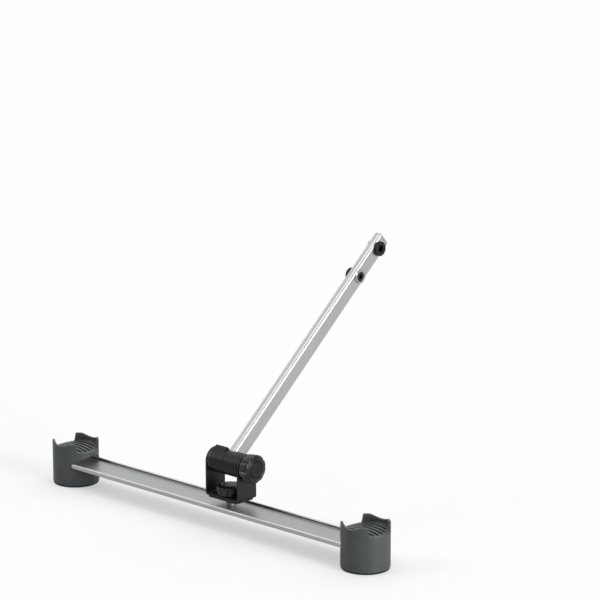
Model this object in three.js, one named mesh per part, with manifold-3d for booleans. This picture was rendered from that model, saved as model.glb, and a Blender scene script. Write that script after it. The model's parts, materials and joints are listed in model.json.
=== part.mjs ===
// Floor bike rack: a low rail on two round feet, a swivelling U bracket, and a tilting arm
// that carries two wheels by their axles.
// Millimetres, +Z up. X runs along the rail and the arm leans towards +Y. The origin is on the
// floor, under the middle of the space that the rack takes up with its arm as it stands here.

import * as THREE from "three";
import { mergeVertices } from "three/addons/utils/BufferGeometryUtils.js";
import Module from "manifold-3d";

const wasm = await Module();
wasm.setup();

// ---------------------------------------------------------------- driving dimensions
const seat = 0.25; // gap left between two faces that rest on each other
const fit = 0.3; // gap round a piece that slides or turns in another
const cutPast = 1; // how far a cutting shape runs past the face it opens
const overlap = 0.5; // how far a shape runs into another that it is joined to
const sliver = 0.01; // the least length of a straight edge between two arcs
const midArc = 1 - Math.SQRT1_2; // a quarter circle's middle, as a share from either face

// feet
const footSpacing = 590; // centre to centre
const footRadius = 35;
const footWall = 3.2;
const footEdgeRound = 1.4;
const shelfThickness = 3;
const deckCrown = 56.8; // height of the middle of the ribbed deck
const deckArchRadius = 105;
const deckThickness = 3;
const grilleSlots = 6;
const grillePitch = 8;
const grilleSlotWidth = 3.4;
const grilleMargin = 3.5; // from a slot's end to the outer wall
const rimTop = 67.4; // height of the two raised end walls
const rimThickness = 3.8;
const rimHalfAngle = THREE.MathUtils.degToRad(50.5);
const saddleDip = 4.5;
const saddleHalfWidth = 17;
const mouthRise = 8.7; // how far the mouth's arch rises above the rail's top

// non-slip ring under each foot
const padThickness = 1.8;
const padInset = 0.9;
const padRimHeight = 4;
const padRimWall = 1.6;

// rail
const railWidth = 56;
const railThickness = 7.5;
const railTop = 37; // height of the tops of its two lips
const lipWidth = 3.8;
const recessDepth = 3.6;
const lipRound = 1.6;
const railEdgeRound = 2.4;
const railReach = 12; // how far it runs past the middle of each foot

// screws that hold the rail on the feet
const railScrewRadius = 2;
const railScrewSpacing = 26;
const railScrewHeadRadius = 4;
const railScrewHeadHeight = 2.6;
const bossRadius = 5;
const bossLength = 8;
const railScrewShort = 0.4; // they stop this far below the rail's recess

// swivel stack between the rail and the bracket
const bracketX = 35; // the bracket stands this far from the rail's middle
const clampBoltRadius = 4;
const clampBoltHeadRadius = 7.5;
const clampBoltHeadHeight = 5.3;
const clampWasherRadius = 11;
const clampWasherThickness = 1;
const collarRadius = 6.8;
const collarHeight = 10.45;
const swivelPadThickness = 2.6;
const swivelPadInset = 0.8;
const swivelPadRound = 3;

// bracket
const bracketWidth = 65.4;
const bracketDepth = 37.4;
const plateThickness = 2.7;
const bendRadius = 4; // outside of the bends
const pivotRise = 49.8; // pivot axis above the bracket's underside

// knobs
const knobRadius = 21.4; // at its widest
const knobHeight = 17;
const knobBackRadius = 20;
const knobBackRound = 1.2;
const knobWidestFrom = 10; // heights between which the knob is widest
const knobWidestTo = 12;
const knobShoulderRadius = 19;
const knobShoulder = 15; // height where the rim's round meets the dome
const knobFaceRadius = 13.2;
const knobScallops = 10;
const scallopRadius = 3.2;
const scallopDepth = 2.5;
const capRadius = 12.1;
const capThickness = 1.6;
const capEdge = 0.5;
const capDome = 0.5;
const domeHalfway = 0.75; // a shallow dome's height at half its radius
const insertLength = 8;
const insertInset = 1.2;
const clampInsertFlats = 13;
const pivotInsertFlats = 17;
const boltEngagement = 13; // how far the pivot bolt reaches into its knob
const clampKnobLower = 3.4; // how much less high the clamp knob is, and its bolt's reach

// pivot
const pivotBoltRadius = 5;
const pivotHeadRadius = 10;
const pivotHeadHeight = 4.6;
const frictionWasherRadius = 17.4;
const frictionWasherThickness = 1;
const knobWasherRadius = 12;
const knobWasherThickness = 2;

// hub
const drumRadius = 18;
const hubSeam = -0.6; // where its two halves meet, from the bracket's middle
const lugReach = 15.5; // how far the left half stands out along the arm
const lugRound = 4;
const ledgeReach = 7; // the arm's foot stands on a ledge this far from the axis
const tongueLength = 50;
const hubScrewRadius = 2;
const hubScrewHeadRadius = 3.5;
const hubScrewHeadHeight = 3.8;
const hubScrewReach = 11;
const hubScrewDrop = 5;
const hubScrewOffset = 10.6;

// arm
const armLean = THREE.MathUtils.degToRad(40.6); // above the horizontal, at rest
const armLength = 429; // from the pivot axis to the tip
const armWidth = 26;
const armThickness = 13.5;
const armRound = 5.2;
const armWall = 1.5;
const capHead = 3;
const capPlug = 8.5;
const capRound = 2;
const armScrewRadius = 2;
const armScrewHeadRadius = 3.9;
const armScrewHeadHeight = 2.2;
const armScrewDepth = 5;
const armScrewPlaces = [24, 46];

// axle seats
const upperAxleFromTip = 20; // from the arm's tip to the upper one's middle
const axleSpacing = 55;
const axleBore = 5.15; // radius, for the stub of a hub's axle
const axleBoreDepth = 11;
const skewerBore = 3.2; // radius, for the skewer that runs through the arm
const bushRadius = 6.8;
const bushFlangeRadius = 11;
const bushFlangeThickness = 5;
const axleRingRadius = 10.4;
const axleRingThickness = 2.2;

// screws and bolts
const screwTip = 0.5;
const screwSocketDepth = 1.3;
const screwSocketFlats = 1.5; // as a share of the shank's radius
const screwCrown = 0.72; // radius of the head's flat top, as a share of the head's
const screwShoulder = 0.45; // where the head is full width, as a share of its height
const boltTip = 0.8;
// bolt heads from the top down, as shares of the head's radius and height
const domedHead = [
  [0.45, 1],
  [0.82, 0.62],
  [1, 0.2],
];
const hexagonHead = [
  [0.92, 1],
  [1, 0.88],
];

// roundness, as sides of a full circle
const bigSides = 44;
const midSides = 28;
const smallSides = 14;
// and as steps of an arc, in half of a quarter circle or along an arched edge
const slotArc = 1;
const smallArc = 4;
const bigArc = 14;
const deckSteps = 10;
const mouthSteps = 14;

// ---------------------------------------------------------------- places worked out from them
const padTop = padThickness;
const footBottom = padTop + seat;
const railBottom = railTop - railThickness;
const recessFloor = railTop - recessDepth;
const shelfTop = railBottom - seat;
const shelfBottom = shelfTop - shelfThickness;
const collarBottom = recessFloor + seat;
const swivelPadBottom = collarBottom + collarHeight + seat;
const bracketBottom = swivelPadBottom + swivelPadThickness + seat;
const bracketFloor = bracketBottom + plateThickness;
const pivotHeight = bracketBottom + pivotRise;
const earInner = bracketWidth / 2 - plateThickness;
const earOuter = bracketWidth / 2;
const hubEnd = earInner - 2 * seat - frictionWasherThickness;
const clampKnobBottom = bracketFloor + seat + clampWasherThickness + seat;
const pivotKnobBack = earOuter + seat + knobWasherThickness + seat;
const mouthShoulder = railTop + fit;
const armFace = armThickness / 2; // the tube's right face; the left one is opposite
const upperAxle = armLength - upperAxleFromTip;
const lowerAxle = upperAxle - axleSpacing;
const tubeBottom = ledgeReach + seat;
const tubeTop = armLength - capHead - seat;

// ---------------------------------------------------------------- solids
function solid(geometry) {
  const bare = geometry.index ? geometry.toNonIndexed() : geometry.clone();
  bare.deleteAttribute("normal");
  bare.deleteAttribute("uv");
  const merged = mergeVertices(bare, 1e-4);
  const mesh = new wasm.Mesh({
    numProp: 3,
    vertProperties: new Float32Array(merged.attributes.position.array),
    triVerts: new Uint32Array(merged.index.array),
  });
  return new wasm.Manifold(mesh);
}

// A square bar between two opposite corners.
function block(low, high) {
  const size = high.map((value, index) => value - low[index]);
  const middle = high.map((value, index) => (value + low[index]) / 2);
  return solid(new THREE.BoxGeometry(...size).translate(...middle));
}

// A solid of revolution about Z; the profile lists radius and height, from the axis back to it.
function turned(profile, sides = midSides) {
  const points = profile.map(([r, z]) => new THREE.Vector2(r, z));
  return solid(new THREE.LatheGeometry(points, sides).rotateX(Math.PI / 2));
}

// A round bar along Z between two heights.
function rod(radius, from, to, sides = smallSides) {
  const bar = new THREE.CylinderGeometry(radius, radius, to - from, sides);
  return solid(bar.rotateX(Math.PI / 2).translate(0, 0, (from + to) / 2));
}

// The same bar along X.
function rodX(radius, from, to, sides = smallSides, y = 0, z = 0) {
  const bar = new THREE.CylinderGeometry(radius, radius, to - from, sides);
  return solid(bar.rotateZ(-Math.PI / 2).translate((from + to) / 2, y, z));
}

function hexagon(flats) {
  const shape = new THREE.Shape();
  const corner = flats / Math.sqrt(3);
  for (let side = 0; side < 6; side++) {
    const turn = (side * Math.PI) / 3;
    shape[side ? "lineTo" : "moveTo"](corner * Math.cos(turn), corner * Math.sin(turn));
  }
  shape.closePath();
  return shape;
}

function roundedRectangle(width, height, radius) {
  const x = width / 2;
  const y = height / 2;
  const r = Math.min(radius, x - sliver, y - sliver);
  const shape = new THREE.Shape();
  shape.moveTo(-x + r, -y);
  shape.lineTo(x - r, -y);
  shape.absarc(x - r, -y + r, r, -Math.PI / 2, 0, false);
  shape.lineTo(x, y - r);
  shape.absarc(x - r, y - r, r, 0, Math.PI / 2, false);
  shape.lineTo(-x + r, y);
  shape.absarc(-x + r, y - r, r, Math.PI / 2, Math.PI, false);
  shape.lineTo(-x, -y + r);
  shape.absarc(-x + r, -y + r, r, Math.PI, 1.5 * Math.PI, false);
  return shape;
}

// Extrudes an outline drawn in its own x and y.
function extruded(shape, length, curveSegments = smallArc) {
  const settings = { depth: length, bevelEnabled: false, curveSegments };
  return new THREE.ExtrudeGeometry(shape, settings);
}

// Outline in YZ, run along X from one place to another.
function alongX(shape, from, to, curveSegments) {
  const bar = extruded(shape, to - from, curveSegments);
  return solid(bar.rotateX(Math.PI / 2).rotateZ(Math.PI / 2).translate(from, 0, 0));
}

// Outline in XZ, run along Y from one place to another.
function alongY(shape, from, to, curveSegments) {
  const bar = extruded(shape, to - from, curveSegments);
  return solid(bar.rotateX(Math.PI / 2).translate(0, to, 0));
}

// Outline in XY, run along Z from one height to another.
function alongZ(shape, from, to, curveSegments) {
  return solid(extruded(shape, to - from, curveSegments).translate(0, 0, from));
}

function geometryOf(made) {
  const mesh = made.getMesh();
  const geometry = new THREE.BufferGeometry();
  const points = new Float32Array(mesh.vertProperties);
  geometry.setAttribute("position", new THREE.BufferAttribute(points, mesh.numProp));
  geometry.setIndex(new THREE.BufferAttribute(new Uint32Array(mesh.triVerts), 1));
  const faceted = geometry.toNonIndexed();
  faceted.computeVertexNormals();
  return faceted;
}

// ---------------------------------------------------------------- finishes
function finish(color, roughness, metalness) {
  return () => new THREE.MeshStandardMaterial({ color, roughness, metalness });
}

const greyPlastic = finish(0x43474a, 0.62, 0);
const blackPlastic = finish(0x17191b, 0.5, 0);
const glossBlack = finish(0x1b1d20, 0.3, 0);
const rubber = finish(0x141516, 0.85, 0);
const blackSteel = finish(0x202224, 0.42, 0.35);
const aluminium = finish(0xc9ccce, 0.32, 0.95);
const steel = finish(0xb5b7b9, 0.28, 1);

const rack = new THREE.Group();

function place(name, made, material, parent = rack) {
  const mesh = new THREE.Mesh(geometryOf(made), material());
  mesh.name = name;
  parent.add(mesh);
  return mesh;
}

// ---------------------------------------------------------------- feet
// Drawn with the foot's axis on Z and the rail coming in from -X.

function deckHeight(x, drop = 0) {
  const side = Math.min(Math.abs(x), deckArchRadius);
  return deckCrown - drop - deckArchRadius + Math.sqrt(deckArchRadius ** 2 - side ** 2);
}

// Everything above the arched deck, or below it, as an outline in XZ.
function deckOutline(drop, limit) {
  const reach = footRadius + cutPast;
  const shape = new THREE.Shape();
  shape.moveTo(-reach, limit);
  shape.lineTo(-reach, deckHeight(-reach, drop));
  for (let step = 1; step <= deckSteps; step++) {
    const x = -reach + (2 * reach * step) / deckSteps;
    shape.lineTo(x, deckHeight(x, drop));
  }
  shape.lineTo(reach, limit);
  shape.closePath();
  return shape;
}

// A slice of a pie about +Y, as wide as one end wall.
function rimSlice(turn) {
  const reach = 2 * footRadius;
  const shape = new THREE.Shape();
  shape.moveTo(0, 0);
  shape.lineTo(reach * Math.sin(-rimHalfAngle), reach * Math.cos(rimHalfAngle));
  shape.lineTo(reach * Math.sin(rimHalfAngle), reach * Math.cos(rimHalfAngle));
  shape.closePath();
  return solid(extruded(shape, rimTop).rotateZ(turn));
}

function ribbedDeckSlots() {
  const inner = footRadius - footWall - grilleMargin;
  const first = (-(grilleSlots - 1) / 2) * grillePitch;
  let slots = null;
  for (let slot = 0; slot < grilleSlots; slot++) {
    const y = first + slot * grillePitch;
    const half = Math.sqrt(Math.max(inner ** 2 - y ** 2, 0));
    if (half < grilleSlotWidth) continue;
    const outline = roundedRectangle(2 * half, grilleSlotWidth, grilleSlotWidth / 2);
    const under = deckHeight(inner, deckThickness) - cutPast;
    const cut = alongZ(outline, under, deckCrown + cutPast, slotArc).translate([0, y, 0]);
    slots = slots ? slots.add(cut) : cut;
  }
  return slots;
}

// The mouth follows the rail's section below and rises as an arch above it.
function mouthOutline() {
  const half = railWidth / 2 + fit;
  const radius = (half ** 2 + mouthRise ** 2) / (2 * mouthRise);
  const centre = mouthShoulder + mouthRise - radius;
  const spread = Math.asin(half / radius);
  const shape = new THREE.Shape();
  shape.moveTo(-half, shelfTop);
  shape.lineTo(half, shelfTop);
  shape.lineTo(half, mouthShoulder);
  for (let step = 1; step < mouthSteps; step++) {
    const turn = spread - (2 * spread * step) / mouthSteps;
    shape.lineTo(radius * Math.sin(turn), centre + radius * Math.cos(turn));
  }
  shape.lineTo(-half, mouthShoulder);
  shape.closePath();
  return shape;
}

function footShell() {
  const edge = footEdgeRound;
  const corner = edge * midArc;
  const bore = footRadius - footWall;
  let body = turned(
    [
      [0, footBottom],
      [footRadius - edge, footBottom],
      [footRadius - corner, footBottom + corner],
      [footRadius, footBottom + edge],
      [footRadius, rimTop - edge],
      [footRadius - corner, rimTop - corner],
      [footRadius - edge, rimTop],
      [0, rimTop],
    ],
    bigSides,
  );

  // open the top down to the deck, but leave the two end walls standing
  const ring = rod(2 * footRadius, 0, rimTop + 2 * cutPast, bigSides).subtract(
    rod(footRadius - rimThickness, -cutPast, rimTop + 3 * cutPast, bigSides),
  );
  const rims = rimSlice(0).add(rimSlice(Math.PI)).intersect(ring);
  const aboveDeck = alongY(
    deckOutline(0, rimTop + cutPast),
    -footRadius - cutPast,
    footRadius + cutPast,
  );
  body = body.subtract(aboveDeck.subtract(rims));

  // the end walls dip in the middle, so that a bar can lie across them
  const saddleRadius = (saddleHalfWidth ** 2 + saddleDip ** 2) / (2 * saddleDip);
  const saddle = new THREE.CylinderGeometry(
    saddleRadius,
    saddleRadius,
    2 * footRadius + 2 * cutPast,
    2 * bigSides,
  ).translate(0, 0, rimTop - saddleDip + saddleRadius);
  body = body.subtract(solid(saddle));

  // hollow below the shelf, and the chamber that holds the rail's end
  const under = rod(bore, footBottom - cutPast, shelfBottom, bigSides);
  body = body.subtract(under);
  const belowDeck = alongY(
    deckOutline(deckThickness, shelfTop),
    -footRadius - cutPast,
    footRadius + cutPast,
  );
  body = body.subtract(belowDeck.intersect(rod(bore, shelfTop, rimTop, bigSides)));
  body = body.subtract(alongX(mouthOutline(), -footRadius - cutPast, 0));
  body = body.subtract(ribbedDeckSlots());

  // a boss under the shelf for each rail screw
  for (const y of railScrewRows()) {
    const boss = rod(bossRadius, shelfBottom - bossLength, shelfBottom + overlap);
    body = body.add(boss.translate([0, y, 0]));
  }
  for (const y of railScrewRows()) {
    const hole = rod(railScrewRadius + fit, 0, shelfTop + cutPast);
    body = body.subtract(hole.translate([0, y, 0]));
  }
  return body;
}

function railScrewRows() {
  return [-railScrewSpacing / 2, railScrewSpacing / 2];
}

function footPad() {
  const outer = footRadius - padInset;
  const rimOuter = footRadius - footWall - fit;
  const rimInner = rimOuter - padRimWall;
  return turned(
    [
      [rimInner, 0],
      [outer, 0],
      [outer, padTop],
      [rimOuter, padTop],
      [rimOuter, padTop + padRimHeight],
      [rimInner, padTop + padRimHeight],
      [rimInner, 0],
    ],
    bigSides,
  );
}

// A screw along +Z with its head below zero.
function screwWithHead(radius, length, headRadius, headHeight) {
  const shank = turned(
    [
      [0, -headHeight],
      [headRadius * screwCrown, -headHeight],
      [headRadius, -headHeight * screwShoulder],
      [headRadius, 0],
      [radius, 0],
      [radius, length - screwTip],
      [radius - screwTip, length],
      [0, length],
    ],
    smallSides,
  );
  const outline = hexagon(radius * screwSocketFlats);
  const socket = alongZ(outline, -headHeight - cutPast, -headHeight + screwSocketDepth);
  return shank.subtract(socket);
}

function addFoot(side, turn) {
  const foot = new THREE.Group();
  foot.position.set(side * (footSpacing / 2), 0, 0);
  foot.rotation.z = turn;
  const label = side < 0 ? "left" : "right";
  place(label + "_foot_shell", footShell(), greyPlastic, foot);
  place(label + "_foot_pad", footPad(), rubber, foot);
  railScrewRows().forEach((y, index) => {
    const under = shelfBottom - bossLength - seat;
    const length = recessFloor - railScrewShort - under;
    const screw = screwWithHead(
      railScrewRadius,
      length,
      railScrewHeadRadius,
      railScrewHeadHeight,
    ).translate([0, y, under]);
    place(label + "_rail_screw_" + (index + 1), screw, steel, foot);
  });
  rack.add(foot);
}

// ---------------------------------------------------------------- rail
function railOutline() {
  const half = railWidth / 2;
  const r = railEdgeRound;
  const inner = half - lipWidth;
  const shape = new THREE.Shape();
  shape.moveTo(-half + r, railBottom);
  shape.lineTo(half - r, railBottom);
  shape.absarc(half - r, railBottom + r, r, -Math.PI / 2, 0, false);
  shape.lineTo(half, railTop - r);
  shape.absarc(half - r, railTop - r, r, 0, Math.PI / 2, false);
  const tip = Math.min(lipRound, lipWidth - r - sliver);
  shape.lineTo(inner + tip, railTop);
  shape.absarc(inner + tip, railTop - tip, tip, Math.PI / 2, Math.PI, false);
  shape.lineTo(inner, recessFloor);
  shape.lineTo(-inner, recessFloor);
  shape.lineTo(-inner, railTop - tip);
  shape.absarc(-inner - tip, railTop - tip, tip, 0, Math.PI / 2, false);
  shape.lineTo(-half + r, railTop);
  shape.absarc(-half + r, railTop - r, r, Math.PI / 2, Math.PI, false);
  shape.lineTo(-half, railBottom + r);
  shape.absarc(-half + r, railBottom + r, r, Math.PI, 1.5 * Math.PI, false);
  return shape;
}

function rail() {
  const end = footSpacing / 2 + railReach;
  let bar = alongX(railOutline(), -end, end);
  const hole = (radius, x, y) =>
    rod(radius, railBottom - cutPast, railTop + cutPast).translate([x, y, 0]);
  bar = bar.subtract(hole(clampBoltRadius + fit, bracketX, 0));
  for (const side of [-1, 1]) {
    for (const y of railScrewRows()) {
      bar = bar.subtract(hole(railScrewRadius + fit, (side * footSpacing) / 2, y));
    }
  }
  return bar;
}

// ---------------------------------------------------------------- swivel stack
function flatWasher(radius, bore, thickness, sides = midSides) {
  const hole = rod(bore, -cutPast, thickness + cutPast);
  return rod(radius, 0, thickness, sides).subtract(hole);
}

// A bolt along +Z with its head below zero.
function bolt(radius, length, headRadius, headHeight, headProfile) {
  const crown = headProfile.map(([across, up]) => [headRadius * across, -headHeight * up]);
  const head = turned([[0, -headHeight], ...crown, [headRadius, 0], [0, 0]]);
  const shank = turned([
    [0, -headHeight / 2],
    [radius, -headHeight / 2],
    [radius, length - boltTip],
    [radius - boltTip, length],
    [0, length],
  ]);
  if (headProfile !== hexagonHead) return head.add(shank);
  const outline = hexagon(headRadius * Math.sqrt(3));
  return head.intersect(alongZ(outline, -headHeight - cutPast, cutPast)).add(shank);
}

function swivelStack() {
  const stack = new THREE.Group();
  stack.position.set(bracketX, 0, 0);
  rack.add(stack);

  const lowerWasherTop = railBottom - seat;
  const lowerWasher = flatWasher(
    clampWasherRadius,
    clampBoltRadius + fit,
    clampWasherThickness,
  ).translate([0, 0, lowerWasherTop - clampWasherThickness]);
  place("clamp_washer_lower", lowerWasher, steel, stack);

  const boltSeat = lowerWasherTop - clampWasherThickness - seat;
  const boltLength = clampKnobBottom + boltEngagement - clampKnobLower - boltSeat;
  const clampBolt = bolt(
    clampBoltRadius,
    boltLength,
    clampBoltHeadRadius,
    clampBoltHeadHeight,
    hexagonHead,
  ).translate([0, 0, boltSeat]);
  place("clamp_bolt", clampBolt, steel, stack);

  const collar = flatWasher(collarRadius, clampBoltRadius + fit, collarHeight);
  place("swivel_collar", collar.translate([0, 0, collarBottom]), aluminium, stack);

  const padWidth = bracketWidth - 2 * bendRadius;
  const padDepth = bracketDepth - 2 * swivelPadInset;
  const padOutline = roundedRectangle(padWidth, padDepth, swivelPadRound);
  const padTopFace = swivelPadBottom + swivelPadThickness;
  const padHole = rod(clampBoltRadius + fit, swivelPadBottom - cutPast, padTopFace + cutPast);
  const pad = alongZ(padOutline, swivelPadBottom, padTopFace).subtract(padHole);
  place("swivel_pad", pad, blackPlastic, stack);

  place("u_bracket", bracket(), blackSteel, stack);

  const upperWasher = flatWasher(
    clampWasherRadius,
    clampBoltRadius + fit,
    clampWasherThickness,
  ).translate([0, 0, bracketFloor + seat]);
  place("clamp_washer_upper", upperWasher, steel, stack);

  const knob = new THREE.Group();
  knob.position.z = clampKnobBottom;
  addKnob("clamp_knob", clampBoltRadius, clampInsertFlats, clampKnobLower, knob);
  stack.add(knob);
}

// ---------------------------------------------------------------- bracket
function bracket() {
  const half = bracketWidth / 2;
  const top = pivotHeight + bracketDepth / 2;
  const r = bendRadius;
  const inner = half - plateThickness;
  const ri = Math.max(r - plateThickness, sliver);
  const outline = new THREE.Shape();
  outline.moveTo(-half + r, bracketBottom);
  outline.lineTo(half - r, bracketBottom);
  outline.absarc(half - r, bracketBottom + r, r, -Math.PI / 2, 0, false);
  outline.lineTo(half, top);
  outline.lineTo(inner, top);
  outline.lineTo(inner, bracketFloor + ri);
  outline.absarc(inner - ri, bracketFloor + ri, ri, 0, -Math.PI / 2, true);
  outline.lineTo(-inner + ri, bracketFloor);
  outline.absarc(-inner + ri, bracketFloor + ri, ri, -Math.PI / 2, -Math.PI, true);
  outline.lineTo(-inner, top);
  outline.lineTo(-half, top);
  outline.lineTo(-half, bracketBottom + r);
  outline.absarc(-half + r, bracketBottom + r, r, Math.PI, 1.5 * Math.PI, false);
  let body = alongY(outline, -bracketDepth / 2, bracketDepth / 2);

  // the ears end in half circles about the pivot axis
  const side = new THREE.Shape();
  const ear = bracketDepth / 2;
  side.moveTo(-ear, bracketBottom - cutPast);
  side.lineTo(ear, bracketBottom - cutPast);
  side.lineTo(ear, pivotHeight);
  side.absarc(0, pivotHeight, ear, 0, Math.PI, false);
  side.closePath();
  body = body.intersect(alongX(side, -half - cutPast, half + cutPast, bigArc));

  body = body.subtract(rod(clampBoltRadius + fit, bracketBottom - cutPast, bracketFloor + r));
  const reach = half + cutPast;
  return body.subtract(rodX(pivotBoltRadius + fit, -reach, reach, smallSides, 0, pivotHeight));
}

// ---------------------------------------------------------------- knobs
// Drawn along +Z, with the clamping face at zero and the capped face on top. A knob can be
// lower than the full height.
function knobBody(boltRadius, flats, lower) {
  const lip = capRadius + fit;
  const top = knobHeight - lower;
  const recess = top - capThickness - seat;
  const shoulder = knobShoulder - lower;
  const rimRound = knobRadius - knobShoulderRadius;
  const rimRise = knobShoulder - knobWidestTo;
  let body = turned(
    [
      [0, 0],
      [knobBackRadius - knobBackRound, 0],
      [knobBackRadius, knobBackRound],
      [knobRadius, knobWidestFrom - lower],
      [knobRadius, knobWidestTo - lower],
      [knobRadius - rimRound * midArc, shoulder - rimRise * midArc],
      [knobShoulderRadius, shoulder],
      [knobFaceRadius, top],
      [lip, top],
      [lip, recess],
      [0, recess],
    ],
    bigSides,
  );
  const scallopPlace = knobRadius + scallopRadius - scallopDepth;
  for (let scallop = 0; scallop < knobScallops; scallop++) {
    const turn = ((scallop + 0.5) * 2 * Math.PI) / knobScallops;
    const x = scallopPlace * Math.cos(turn);
    const y = scallopPlace * Math.sin(turn);
    const cut = rod(scallopRadius, -cutPast, top + cutPast, smallSides);
    body = body.subtract(cut.translate([x, y, 0]));
  }
  const pocket = alongZ(hexagon(flats + 2 * fit), -cutPast, insertInset + insertLength + seat);
  const bore = rod(boltRadius + fit, -cutPast, boltEngagement - lower + 2 * seat);
  return body.subtract(pocket).subtract(bore);
}

function knobInsert(boltRadius, flats) {
  const top = insertInset + insertLength;
  const hole = rod(boltRadius + fit, insertInset - cutPast, top + cutPast);
  return alongZ(hexagon(flats), insertInset, top).subtract(hole);
}

function knobCap(lower) {
  const top = knobHeight - lower;
  const bottom = top - capThickness;
  return turned(
    [
      [0, bottom],
      [capRadius, bottom],
      [capRadius, top - capEdge],
      [capRadius - capEdge, top],
      [capRadius / 2, top + capDome * domeHalfway],
      [0, top + capDome],
    ],
    midSides,
  );
}

function addKnob(name, boltRadius, flats, lower, parent) {
  place(name, knobBody(boltRadius, flats, lower), glossBlack, parent);
  place(name + "_insert", knobInsert(boltRadius, flats), steel, parent);
  place(name + "_cap", knobCap(lower), blackPlastic, parent);
}

// ---------------------------------------------------------------- pivot
// Drawn along X about the pivot axis, in a group whose origin is the middle of the bracket.
function pivot() {
  const axis = new THREE.Group();
  axis.position.set(bracketX, 0, pivotHeight);
  axis.rotation.y = Math.PI / 2; // local +Z points along the axis, towards the knob
  rack.add(axis);

  const headSeat = -earOuter - seat;
  const boltLength = pivotKnobBack + boltEngagement - headSeat;
  const pivotBolt = bolt(pivotBoltRadius, boltLength, pivotHeadRadius, pivotHeadHeight, domedHead);
  place("pivot_bolt", pivotBolt.translate([0, 0, headSeat]), steel, axis);

  const bore = pivotBoltRadius + fit;
  const friction = () => flatWasher(frictionWasherRadius, bore, frictionWasherThickness);
  const leftPlace = -earInner + seat;
  const rightPlace = earInner - seat - frictionWasherThickness;
  place("friction_washer_left", friction().translate([0, 0, leftPlace]), steel, axis);
  place("friction_washer_right", friction().translate([0, 0, rightPlace]), steel, axis);

  const washer = flatWasher(knobWasherRadius, bore, knobWasherThickness);
  place("pivot_washer", washer.translate([0, 0, earOuter + seat]), steel, axis);

  const knob = new THREE.Group();
  knob.position.z = pivotKnobBack;
  addKnob("pivot_knob", pivotBoltRadius, pivotInsertFlats, 0, knob);
  axis.add(knob);
}

// ---------------------------------------------------------------- hub and arm
// Drawn in a group that turns with the arm: X along the pivot axis, Y along the arm,
// Z out of the arm's upper edge.
function hubScrewPlaces() {
  return [-hubScrewOffset, hubScrewOffset];
}

// The room that the arm's foot takes up in the hub.
function armPocket() {
  return armCore(ledgeReach, drumRadius + cutPast, -seat);
}

function hubLeft() {
  const from = -hubEnd;
  const to = hubSeam - seat;
  const beside = -armFace - seat;
  const reach = drumRadius + cutPast;
  const lug = new THREE.Shape();
  const r = lugRound;
  lug.moveTo(0, -drumRadius);
  lug.lineTo(lugReach - r, -drumRadius);
  lug.absarc(lugReach - r, -drumRadius + r, r, -Math.PI / 2, 0, false);
  lug.lineTo(lugReach, drumRadius - r);
  lug.absarc(lugReach - r, drumRadius - r, r, 0, Math.PI / 2, false);
  lug.lineTo(0, drumRadius);
  lug.absarc(0, 0, drumRadius, Math.PI / 2, 1.5 * Math.PI, false);

  // the lug stands beside the arm only; under the arm this half is round, as the other is
  const square = block([beside, 0, -reach], [to + cutPast, reach, reach]);
  const round = rodX(drumRadius, beside - cutPast, to + 2 * cutPast, bigSides);
  let body = alongX(lug, from, to, bigArc).subtract(square.subtract(round));
  body = body.subtract(armPocket());
  body = body.subtract(rodX(pivotBoltRadius + fit, from - cutPast, to + cutPast));
  for (const z of hubScrewPlaces()) {
    const y = -hubScrewDrop;
    const shank = rodX(hubScrewRadius + fit, from - cutPast, to + cutPast, smallSides, y, z);
    const sink = from + hubScrewHeadHeight + 2 * seat;
    const head = rodX(hubScrewHeadRadius + fit, from - cutPast, sink, smallSides, y, z);
    body = body.subtract(shank).subtract(head);
  }
  return body;
}

function hubRight() {
  const from = hubSeam;
  let body = rodX(drumRadius, from, hubEnd, bigSides).subtract(armPocket());

  // the tongue inside the arm grows out of this half only
  const tongueEnd = ledgeReach + tongueLength;
  const overLeft = block(
    [-armThickness, ledgeReach - cutPast, -armWidth],
    [from, tubeBottom, armWidth],
  );
  const tongue = armCore(ledgeReach - overlap, tongueEnd, armWall + fit).subtract(overLeft);
  body = body.add(tongue);
  body = body.subtract(rodX(pivotBoltRadius + fit, from - cutPast, hubEnd + cutPast));
  for (const z of hubScrewPlaces()) {
    const to = from + hubScrewReach + fit;
    const y = -hubScrewDrop;
    body = body.subtract(rodX(hubScrewRadius + fit, from - cutPast, to, smallSides, y, z));
  }
  for (const y of armScrewPlaces) {
    const to = -armFace + armWall + armScrewDepth + fit;
    body = body.subtract(rodX(armScrewRadius + fit, -armThickness, to, smallSides, y));
  }
  return body;
}

// A length of the arm's section, taken in all round by the given amount.
function armCore(from, to, inset) {
  const width = armThickness - 2 * inset;
  const height = armWidth - 2 * inset;
  const outline = roundedRectangle(width, height, armRound - inset);
  return alongY(outline, from, to);
}

function armTube() {
  const inside = armCore(tubeBottom - cutPast, tubeTop + cutPast, armWall);
  let tube = armCore(tubeBottom, tubeTop, 0).subtract(inside);
  const past = armFace + cutPast;
  for (const y of [lowerAxle, upperAxle]) {
    tube = tube.subtract(rodX(bushRadius + fit, -past, past, midSides, y));
  }
  for (const y of armScrewPlaces) {
    tube = tube.subtract(rodX(armScrewRadius + fit, -past, 0, smallSides, y));
  }
  return tube;
}

function armEndCap() {
  const head = armCore(tubeTop + seat, armLength, 0);
  const r = Math.min(capRound, capHead);
  const half = armWidth / 2;
  const outline = new THREE.Shape(); // in YZ, full height below, rounded at the tip
  outline.moveTo(0, -half);
  outline.lineTo(armLength - r, -half);
  outline.absarc(armLength - r, -half + r, r, -Math.PI / 2, 0, false);
  outline.lineTo(armLength, half - r);
  outline.absarc(armLength - r, half - r, r, 0, Math.PI / 2, false);
  outline.lineTo(0, half);
  outline.closePath();
  const tip = head.intersect(alongX(outline, -armThickness, armThickness));
  return tip.add(armCore(tubeTop - capPlug, tubeTop + seat + overlap, armWall + fit));
}

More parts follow.
